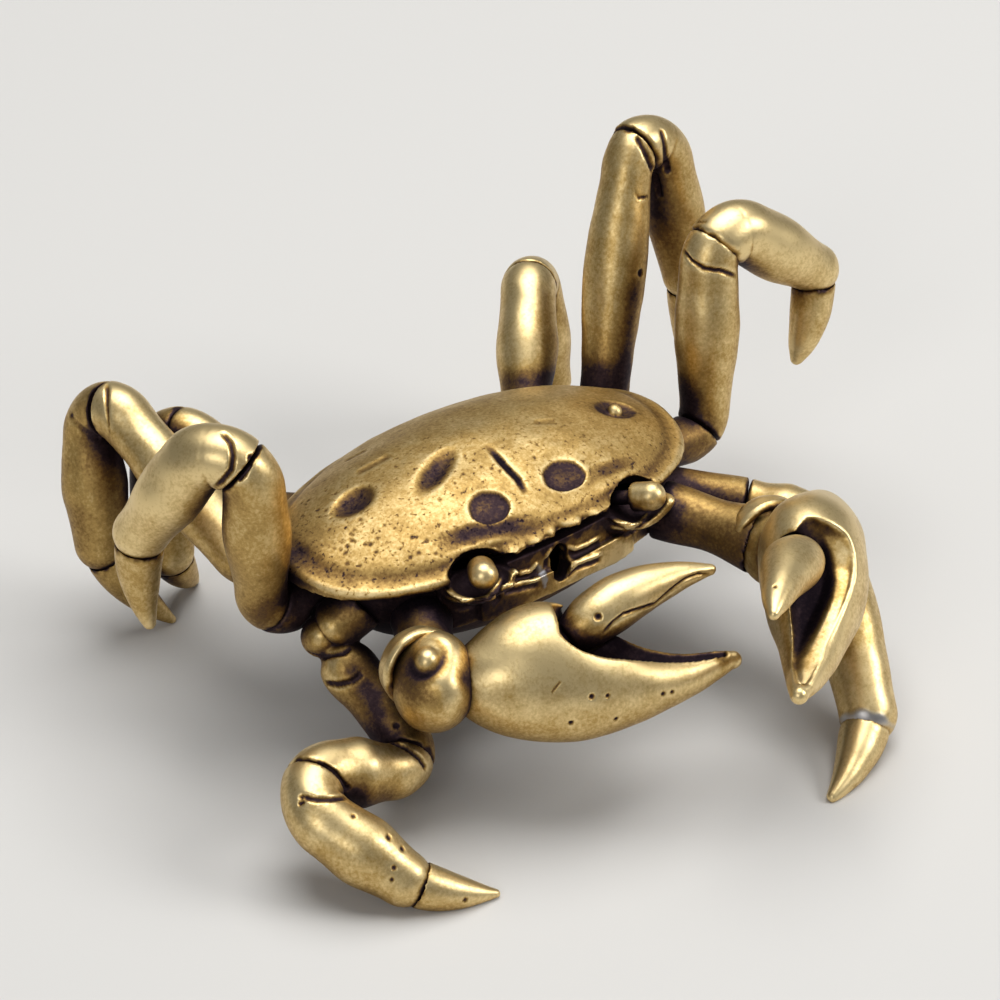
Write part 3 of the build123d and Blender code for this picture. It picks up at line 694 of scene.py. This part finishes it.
# Chased lines between the segments of the limbs: pieces, the line on the photograph, half width, depth
LIMB_LINES = [
    # left third leg
    (["leg_left_3_thigh"],
     [(607, 187), (615, 180), (625, 180), (634, 189), (640, 198), (650, 197), (655, 194)], 0.26, 0.2),
    (["leg_left_3_thigh", "leg_left_3_shank"],
     [(636, 135), (642, 144), (649, 157), (654, 171), (658, 186), (660, 200)], 0.42, 0.4),
    (["leg_left_3_shank"], [(661, 129), (664, 144), (666, 161), (669, 176)], 0.4, 0.2),
    # left second leg
    (["leg_left_2_thigh"], [(681, 247), (692, 261), (705, 269), (722, 271), (738, 277)], 0.28, 0.24),
    (["leg_left_2_shank"], [(697, 222), (709, 223)], 0.25, 0.18),
    (["leg_left_2_shank"], [(723, 219), (751, 217)], 0.14, 0.08),
    (["leg_left_2_shank"], [(768, 232), (774, 240)], 0.12, 0.06),
    # right third leg
    (["leg_right_3_thigh"], [(107, 382), (106, 404), (107, 422), (108, 446)], 0.3, 0.22),
    (["leg_right_3_thigh"], [(140, 440), (127, 443), (114, 444), (108, 443)], 0.24, 0.2),
    (["leg_right_3_shank"], [(74, 400), (82, 416), (91, 432), (103, 444)], 0.3, 0.26),
    # right second leg
    (["leg_right_2_shank"],
     [(222, 431), (231, 442), (233, 456), (231, 470), (222, 482), (213, 490)], 0.34, 0.28),
    (["leg_right_2_thigh", "leg_right_2_shank"],
     [(252, 454), (249, 465), (245, 475), (236, 483)], 0.32, 0.26),
    # right front leg
    (["leg_right_1_thigh"], [(311, 765), (322, 766), (334, 772), (344, 783), (350, 793)], 0.36, 0.34),
    (["leg_right_1_shank"],
     [(298, 796), (317, 800), (331, 800), (346, 798), (356, 800), (365, 808)], 0.36, 0.28),
    (["leg_right_1_shank"], [(305, 800), (297, 806)], 0.3, 0.22),
    (["leg_right_1_thigh"], [(391, 743), (406, 749), (419, 759), (427, 771)], 0.36, 0.28),
    (["leg_right_1_root"], [(397, 741), (425, 746)], 0.36, 0.26),
    (["leg_right_1_root"], [(302, 650), (313, 655), (327, 657), (344, 654), (352, 648)], 0.36, 0.28),
    (["leg_right_1_root"], [(312, 678), (324, 683), (338, 685), (352, 682), (364, 672)], 0.36, 0.28),
    # left front leg
    (["leg_left_1_shank"], [(869, 641), (860, 661)], 0.26, 0.2),
    (["leg_left_1_shank"], [(868, 664), (882, 678), (903, 692)], 0.27, 0.24),
    # right claw
    (["claw_right_finger"],
     [(601, 634), (613, 621), (623, 614), (642, 608), (655, 604), (670, 591), (686, 579), (699, 574),
      (716, 575)], 0.24, 0.22),
    (["claw_right_palm"], [(561, 681), (550, 695)], 0.14, 0.06),
]
LIMB_LINE_WEAR = 0.85     # share of those half widths that tumbling leaves
LIMB_LINE_INK = 0.5
LIMB_LINE_TAPER = 0.08
# Small pits and dots on a piece: place on the photograph, radius
PITS = {
    "leg_left_3_thigh": [((641, 273), 0.4)],
    "leg_right_1_shank": [((353, 817), 0.3), ((388, 838), 0.34), ((402, 849), 0.3), ((394, 868), 0.26),
                          ((392, 880), 0.2)],
    "leg_right_1_tip": [((422, 888), 0.24), ((466, 901), 0.26)],
    "leg_right_1_root": [((320, 637), 0.26), ((337, 642), 0.24), ((328, 622), 0.3), ((396, 726), 0.3)],
    "claw_right_finger": [((598, 617), 0.4)],
    "claw_right_palm": [((592, 697), 0.3), ((608, 696), 0.24), ((571, 723), 0.26), ((616, 719), 0.22),
                        ((663, 694), 0.24), ((672, 692), 0.22)],
    "claw_left_finger": [((775, 587), 0.2)],
    "claw_left_palm": [((836, 559), 0.22)],
}
PIT_DEPTH = 0.6           # share of a pit's radius
# Patina that stays in troughs and at the roots, or is rubbed off, and one painted shade on the dark side of a
# ridge: piece, line, half width, stain
STAINS_AND_PAINTED_SHADE = [
    ("claw_right_palm", [(600, 640), (625, 655), (650, 660), (690, 660), (722, 657)], 0.9, 0.75),
    ("claw_right_palm", [(601, 659), (622, 673), (644, 679), (670, 677), (708, 668), (736, 659)], 0.5, -0.25),
    ("claw_left_palm", [(812, 560), (815, 600), (805, 640), (798, 670)], 1.1, 0.6),
    ("carapace", [(615, 410), (619, 410)], 0.6, -0.9),
    ("leg_left_3_thigh", [(588, 380), (606, 383), (624, 380)], 1.8, 0.5),
    # painted shade along the dark side of the thigh's ridge
    ("leg_left_3_thigh", [(634, 290), (630, 330), (624, 375)], 0.9, 0.4),
    ("leg_left_2_thigh", [(684, 385), (694, 415), (706, 428)], 1.4, 0.4),
    ("leg_left_4_thigh", [(508, 380), (530, 383), (560, 381)], 1.3, 0.45),
    ("leg_right_2_thigh", [(262, 616), (280, 600)], 1.4, 0.4),
    ("leg_right_1_root", [(352, 672), (364, 686), (374, 700), (382, 712)], 0.9, 0.4),
    ("leg_right_1_root", [(390, 706), (400, 722), (412, 738)], 0.8, -0.3),
    ("leg_right_1_root", [(324, 618), (328, 640)], 1.4, -0.3),
]
# Grey soft solder that ran out of a joint: piece, the line on the photograph, half width
SOLDER = [
    ("leg_left_1_shank", [(836, 724), (848, 717), (862, 715), (880, 719), (892, 726), (902, 734)], 0.5),
    ("face", [(538, 566), (542, 573), (545, 580), (545, 588)], 0.3),
]
SOLDER_HEIGHT = 0.06
SOLDER_MOST = 0.85        # of its grey over the brass
SOLDER_SOFT_EDGE = 0.7    # shares of its half width, as the next three are
SOLDER_ENDS = 0.7
SOLDER_BELLY = 0.6
SOLDER_RIPPLE = 0.15
SOLDER_RIPPLES = 19       # radians along its length
# Broad swellings, or slimmer places: piece, place on the photograph, radius, height
SWELLINGS = [
    ("claw_right_wrist", (440, 706), 3.0, 0.8),
    ("leg_left_2_shank", (765, 235), 4.5, 0.55),
    ("leg_right_2_shank", (180, 470), 4.5, 0.2),
    ("leg_right_1_shank", (350, 840), 4.5, 0.2),
    ("leg_left_1_shank", (875, 670), 4.5, 0.25),
    ("leg_right_1_root", (328, 631), 1.5, 0.35),
    ("leg_left_3_thigh", (608, 165), 4.0, -0.6),
    ("leg_right_3_shank", (72, 425), 4.0, -0.5),
    ("leg_right_3_thigh", (160, 440), 5.0, -0.4),
    ("leg_left_2_tip", (808, 325), 2.6, 0.4),
    ("leg_left_2_tip", (800, 345), 1.6, 0.3),
]


def run_solder(casting, line, half_width):
    """A low grey run of solder, widest at its middle."""
    path = casting.path(line)
    if not path:
        return
    far, where = casting.distance(path, 3 * half_width)
    edge = half_width * (SOLDER_ENDS + SOLDER_BELLY * np.sin(math.pi * where)
                         + SOLDER_RIPPLE * np.sin(SOLDER_RIPPLES * where))
    cover = np.clip((edge - far) / (SOLDER_SOFT_EDGE * half_width), 0, SOLDER_MOST)
    casting.solder = np.maximum(casting.solder, cover)
    casting.move(casting.solder, SOLDER_HEIGHT)
    casting.turn_normals()


# Chased edges of the face: the line on the photograph, half width, height
FACE_EDGES = [
    ([(511, 568), (519, 573), (529, 571), (540, 560)], 0.24, 0.2),
    ([(567, 546), (575, 549), (586, 545), (602, 535)], 0.24, 0.2),
    ([(492, 600), (503, 587), (520, 583), (543, 578)], 0.26, 0.22),
    ([(566, 573), (577, 563), (590, 558), (604, 552)], 0.26, 0.22),
    ([(430, 577), (437, 588), (446, 597), (461, 602), (486, 596), (498, 584), (503, 572)], 0.24, 0.12),
    ([(599, 506), (604, 518), (611, 526), (626, 529), (640, 522), (653, 509)], 0.24, 0.12),
    ([(546, 563), (547, 554), (552, 547), (560, 546), (566, 552)], 0.24, 0.16),
]
FACE_EDGE_POLISH = 0.6
FACE_CUT = (0.34, 0.2, 0.4)   # half width, depth and ink of the cut below each edge
FACE_CUT_DROP = 6         # pixels
FACE_CHEEK = ((620, 553), 1.6, 0.15, -0.35)  # place, radius, height, stain


def chase_face(casting):
    for line, _, _ in FACE_EDGES:
        casting.chase([(x, y + FACE_CUT_DROP) for x, y in line], *FACE_CUT)
    for line, half_width, height in FACE_EDGES:
        casting.chase(line, half_width, -height, FACE_EDGE_POLISH)
    casting.swell(*FACE_CHEEK)


# The right wrist: its knob on the photograph, the worn moat round it, and the forms beside it, with painted
# shade and painted highlight on them
KNOB = (424, 655)
WRIST_STRETCH = 0.2       # share by which the ball is taller than the solid's
KNOB_SMOOTHED = 2.4       # from the knob's middle, where the smoothing ends
KNOB_ROUNDS = 14
MOAT_RADIUS = 1.65
MOAT_HALF_WIDTH = 0.5
MOAT_DEPTH = 0.2
MOAT_INK = 0.5
MOAT_BESIDE = 0.55        # share of the depth beside the knob, which is full so far to the lower right
MOAT_FULL_AT = 1.7
MOAT_LEAST = 0.1
# Place on the photograph, radius, height, stain: painted shade where positive, painted highlight where
# negative
WRIST_FORMS_AND_PAINTED_LIGHT = [
    ((450, 648), 1.2, 0.15, -0.2),
    ((447, 690), 1.2, 0.2, -0.1),
    ((402, 668), 1.9, -0.1, 0.45),
    ((414, 688), 1.5, -0.1, 0.3),
    ((436, 696), 0.9, -0.15, 0.2),
    ((462, 680), 0.8, -0.1, 0.4),
]


def chase_wrist(ball):
    knob = seen(ball.node, KNOB)
    far = np.linalg.norm(ball.points - knob, axis=1) / MM
    tall = (ball.points - ball.points.mean(axis=0)) @ np.array(UPWARD)
    ball.points += np.outer(tall * WRIST_STRETCH, np.array(UPWARD))
    ball.smooth(np.clip(KNOB_SMOOTHED - far, 0, 1), KNOB_ROUNDS)
    aside = (ball.points - knob) @ np.array(ACROSS - UPWARD) / (MOAT_FULL_AT * MM)
    fade = np.clip(MOAT_BESIDE + (1 - MOAT_BESIDE) * aside, MOAT_LEAST, 1)
    moat = bell(far, MOAT_RADIUS, MOAT_HALF_WIDTH) * fade
    ball.move(moat, -MOAT_DEPTH)
    ball.ink += MOAT_INK * moat
    ball.turn_normals()
    # forms with painted shade on the ball's left and painted highlight on its right and its lower bulge
    for form in WRIST_FORMS_AND_PAINTED_LIGHT:
        ball.swell(*form)


# The left claw's trough is narrower in the photograph than in the solid: its edge there, and the solid's rim
TROUGH_EDGE = [(806, 520), (809, 527), (818, 540), (823, 559), (825, 579), (822, 598), (811, 621), (802, 639),
               (792, 658), (793, 670), (797, 684)]
TROUGH_RIM = [(818, 517), (836, 524), (848, 536), (853, 552), (855, 568), (851, 589), (841, 612), (829, 635),
              (818, 662), (808, 684)]
TROUGH_TOP = 519          # pixels, as the next three are
TROUGH_END = 685
RIM_LEVEL_AT = 3          # right of the rim's line, where its level is read
RIM_PAST = 2              # beyond the rim, where the filling ends
TROUGH_SKIN = 0.4         # from the solid's skin, within which a point counts as seen
TROUGH_WALL = 0.35        # share of the filling that slopes down
TROUGH_ROUNDS = 14        # of smoothing, on the filling and so many rounds beyond it
TROUGH_SPREAD = 6
TROUGH_SPREAD_GAIN = 3


def fill_trough(casting):
    """Brings the trough's floor up to the rim between those two lines."""
    across, down, depth = project(casting.points)
    edge = np.interp(down, [y for x, y in TROUGH_EDGE], [x for x, y in TROUGH_EDGE])
    rim = np.interp(down, [y for x, y in TROUGH_RIM], [x for x, y in TROUGH_RIM])
    rows = []
    levels = []
    for x, y in TROUGH_RIM:
        hit = seen(casting.node, (x + RIM_LEVEL_AT, y))
        if hit is not None:
            rows.append(y)
            levels.append(project(hit[None])[2][0])
    level = np.interp(down, rows, levels)
    between = (down > TROUGH_TOP) & (down < TROUGH_END) & (across > edge) & (across < rim + RIM_PAST)
    filled = np.zeros(len(casting.points))
    for number in np.flatnonzero(between):
        ray = Vector(casting.points[number]) - EYE
        far = search[casting.node].ray_cast(EYE, ray.normalized())[3]
        if far is not None and abs(far - ray.length) < TROUGH_SKIN * MM:
            filled[number] = 1
    share = np.clip((across - edge) / (TROUGH_WALL * (rim - edge)), 0, 1)
    lift = filled * smooth_step(share) * np.clip(depth - level, 0, None)
    casting.points += np.outer(lift, np.array(AWAY))
    casting.turn_normals()
    beside = TROUGH_SPREAD_GAIN * spread(filled, casting.edges, TROUGH_SPREAD)
    casting.smooth(np.clip(beside, 0, 1), TROUGH_ROUNDS)


LIMB_DARKEST = 0.82       # patina in the grooves of the legs and the face, short of black
brass = antique_brass()
castings = {}
for node in sorted(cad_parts):
    fine = node in ("face", "eye_right", "eye_left") or node.startswith("claw")
    piece = refined(node, FINE_SKIN if fine else SKIN)
    piece.data.materials.append(brass)
    castings[node] = Casting(node, piece)
    if node.startswith("leg") or node == "face":
        castings[node].darkest *= LIMB_DARKEST
    castings[node].uneven(BODY_WAVES if node in BODY_NODES else WAVES)

chase_carapace(castings["carapace"])
chase_face(castings["face"])
chase_wrist(castings["claw_right_wrist"])
fill_trough(castings["claw_left_palm"])
for node, pixel, radius, height in SWELLINGS:
    castings[node].swell(pixel, radius, height)
# stains, rubbed places and one painted shade
for node, line, half_width, stain in STAINS_AND_PAINTED_SHADE:
    casting = castings[node]
    far, _ = casting.distance(casting.path(line), 3 * half_width)
    casting.ink += stain * bell(far, 0, half_width)
for node, line, half_width in SOLDER:
    run_solder(castings[node], line, half_width)
for nodes, line, half_width, depth in LIMB_LINES:
    for node in nodes:
        castings[node].chase(line, LIMB_LINE_WEAR * half_width, depth, LIMB_LINE_INK, LIMB_LINE_TAPER)
for node, pits in PITS.items():
    for pixel, radius in pits:
        castings[node].press(pixel, radius, PIT_DEPTH * radius)
        castings[node].turn_normals()

# How dark the patina starts on a piece, by the end of its name, and on single pieces, where the start is
# partly painted light: lighter as painted highlight on the bright shanks, palms and finger, darker as painted
# shade on the right third leg's shank and tip and the left third thigh
LIGHT_PATINA = 0.06
COLLAR_PATINA = 0.0
PATINA_BY_KIND = {"_root": 0.36, "_arm": 0.36, "underbody": 0.36, "face": 0.02, "carapace": 0.22}
PATINA_AND_PAINTED_LIGHT_BY_PIECE = {
    "leg_right_1_root": 0.2,
    "leg_right_2_shank": -0.1,
    "leg_left_2_shank": -0.08,
    "claw_left_palm": -0.06,
    "claw_right_palm": -0.03,
    "claw_right_finger": -0.05,
    "leg_right_3_shank": 0.2,
    "leg_right_3_tip": 0.14,
    "leg_left_3_thigh": 0.12,
}
COVER_SHADE = 1.9         # how strongly covered places darken
CARAPACE_COVER_SHADE = 1.1


# The darkness a piece starts with: its patina, and on single pieces painted highlight and painted shade
def first_patina_and_painted_light(node):
    for ending, dark in PATINA_BY_KIND.items():
        if node.endswith(ending):
            return PATINA_AND_PAINTED_LIGHT_BY_PIECE.get(node, dark)
    return PATINA_AND_PAINTED_LIGHT_BY_PIECE.get(node, LIGHT_PATINA)


# Collars: the rims of the cups in which the wrists sit, seen as crescents beside the balls
# Each has its offset from the wrist's middle and its facing: across, up and towards the camera
COLLARS = {
    "claw_right_wrist": ((-0.85, 0.65, -0.3), (0.55, -0.35, 0.75)),
    "claw_left_wrist": ((-0.6, 0.9, -0.4), (0.35, -0.5, 0.6)),
}
# Section of a bowl from its foot round the rim to its middle: distance from the axis, height
BOWL = [(0, -2.0), (1.7, -1.8), (2.9, -1.0), (3.3, 0.0), (3.35, 0.55), (3.05, 0.85), (2.7, 0.6), (2.5, 0.0),
        (1.4, -0.5), (0, -0.6)]
BOWL_STEPS = 48
BOWL_SEAM = 1e-3          # points of the turned bowl nearer than this are one


def collar(node, offset, facing):
    """A bowl turned about its own axis, most of it sunk in the arm and the wrist."""
    low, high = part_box(node)
    middle = (Vector(low) + Vector(high)) / 2
    middle += (ACROSS * offset[0] + UPWARD * offset[1] + AWAY * offset[2]) * MM
    axis = (ACROSS * facing[0] + UPWARD * facing[1] + AWAY * facing[2]).normalized()
    outward = axis.orthogonal().normalized()
    shape = bmesh.new()
    section = [shape.verts.new(middle + (outward * away + axis * along) * MM) for away, along in BOWL]
    for first, last in zip(section, section[1:]):
        shape.edges.new((first, last))
    bmesh.ops.spin(shape, geom=shape.verts[:] + shape.edges[:], cent=middle, axis=axis, angle=2 * math.pi,
                   steps=BOWL_STEPS, use_merge=True)
    bmesh.ops.remove_doubles(shape, verts=shape.verts, dist=BOWL_SEAM * MM)
    bmesh.ops.recalc_face_normals(shape, faces=shape.faces)
    bmesh.ops.subdivide_edges(shape, edges=shape.edges, cuts=2, smooth=1.0, use_grid_fill=True)
    piece = object_from(shape, "cast_" + node.replace("wrist", "collar"))
    piece.data.shade_smooth()
    piece.data.materials.append(brass)
    casting = Casting(node, piece)
    casting.uneven(COLLAR_WAVES)
    patina_and_painted_light(casting, COLLAR_PATINA, COVER_SHADE)
    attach(piece, "root")


for node, settings in COLLARS.items():
    collar(node, *settings)

for node, casting in castings.items():
    patina_and_painted_light(casting, first_patina_and_painted_light(node), CARAPACE_COVER_SHADE if node == "carapace" else COVER_SHADE)
    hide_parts(node)
    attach(casting.piece, "root")

# Stage: a pale floor, soft studio light and the photograph's camera, in metres and watts
FLOOR_SIZE = 1.5
FLOOR_COLOUR = "#D5D3CF"
FLOOR_ROUGHNESS = 0.75
LAMP_TARGET = (0, 0, 0.015)
# Name, place, width, power
LAMPS = [
    ("soft box above", (0.10, 0.10, 0.62), 0.60, 3.6),
    ("soft box left", (-0.55, -0.30, 0.40), 0.30, 0.9),
    ("soft box right", (0.42, -0.40, 0.42), 0.30, 1.9),
]
SKY_COLOUR = "#B9BBBE"
SKY_STRENGTH = 0.36


# Matt pale board, which keeps the ornament's shadow
def pale_floor():
    shape = bmesh.new()
    bmesh.ops.create_grid(shape, x_segments=1, y_segments=1, size=FLOOR_SIZE)
    floor = object_from(shape, "floor")
    board = bpy.data.materials.new("matt pale board")
    board.use_nodes = True
    shader = board.node_tree.nodes["Principled BSDF"]
    shader.inputs["Base Color"].default_value = linear(FLOOR_COLOUR)
    shader.inputs["Roughness"].default_value = FLOOR_ROUGHNESS
    floor.data.materials.append(board)


def lamp(name, place, width, power):
    light = bpy.data.lights.new(name, "AREA")
    light.shape = "DISK"
    light.size = width
    light.energy = power
    made = bpy.data.objects.new(name, light)
    made.location = Vector(place)
    made.rotation_euler = (Vector(LAMP_TARGET) - Vector(place)).to_track_quat("-Z", "Y").to_euler()
    bpy.context.scene.collection.objects.link(made)


pale_floor()
for settings in LAMPS:
    lamp(*settings)

scene = bpy.context.scene
scene.view_settings.view_transform = "Standard"
scene.world = bpy.data.worlds.new("studio")
scene.world.use_nodes = True
sky = scene.world.node_tree.nodes["Background"]
sky.inputs["Color"].default_value = linear(SKY_COLOUR)
sky.inputs["Strength"].default_value = SKY_STRENGTH

lens = bpy.data.cameras.new("camera")
lens.lens = CAMERA_LENS
lens.sensor_width = CAMERA_SENSOR
lens.shift_x = CAMERA_SHIFT[0]
lens.shift_y = CAMERA_SHIFT[1]
lens.clip_start = 0.01
camera = bpy.data.objects.new("camera", lens)
camera.location = EYE
camera.rotation_euler = (-AWAY).to_track_quat("-Z", "Y").to_euler()
scene.collection.objects.link(camera)
scene.camera = camera
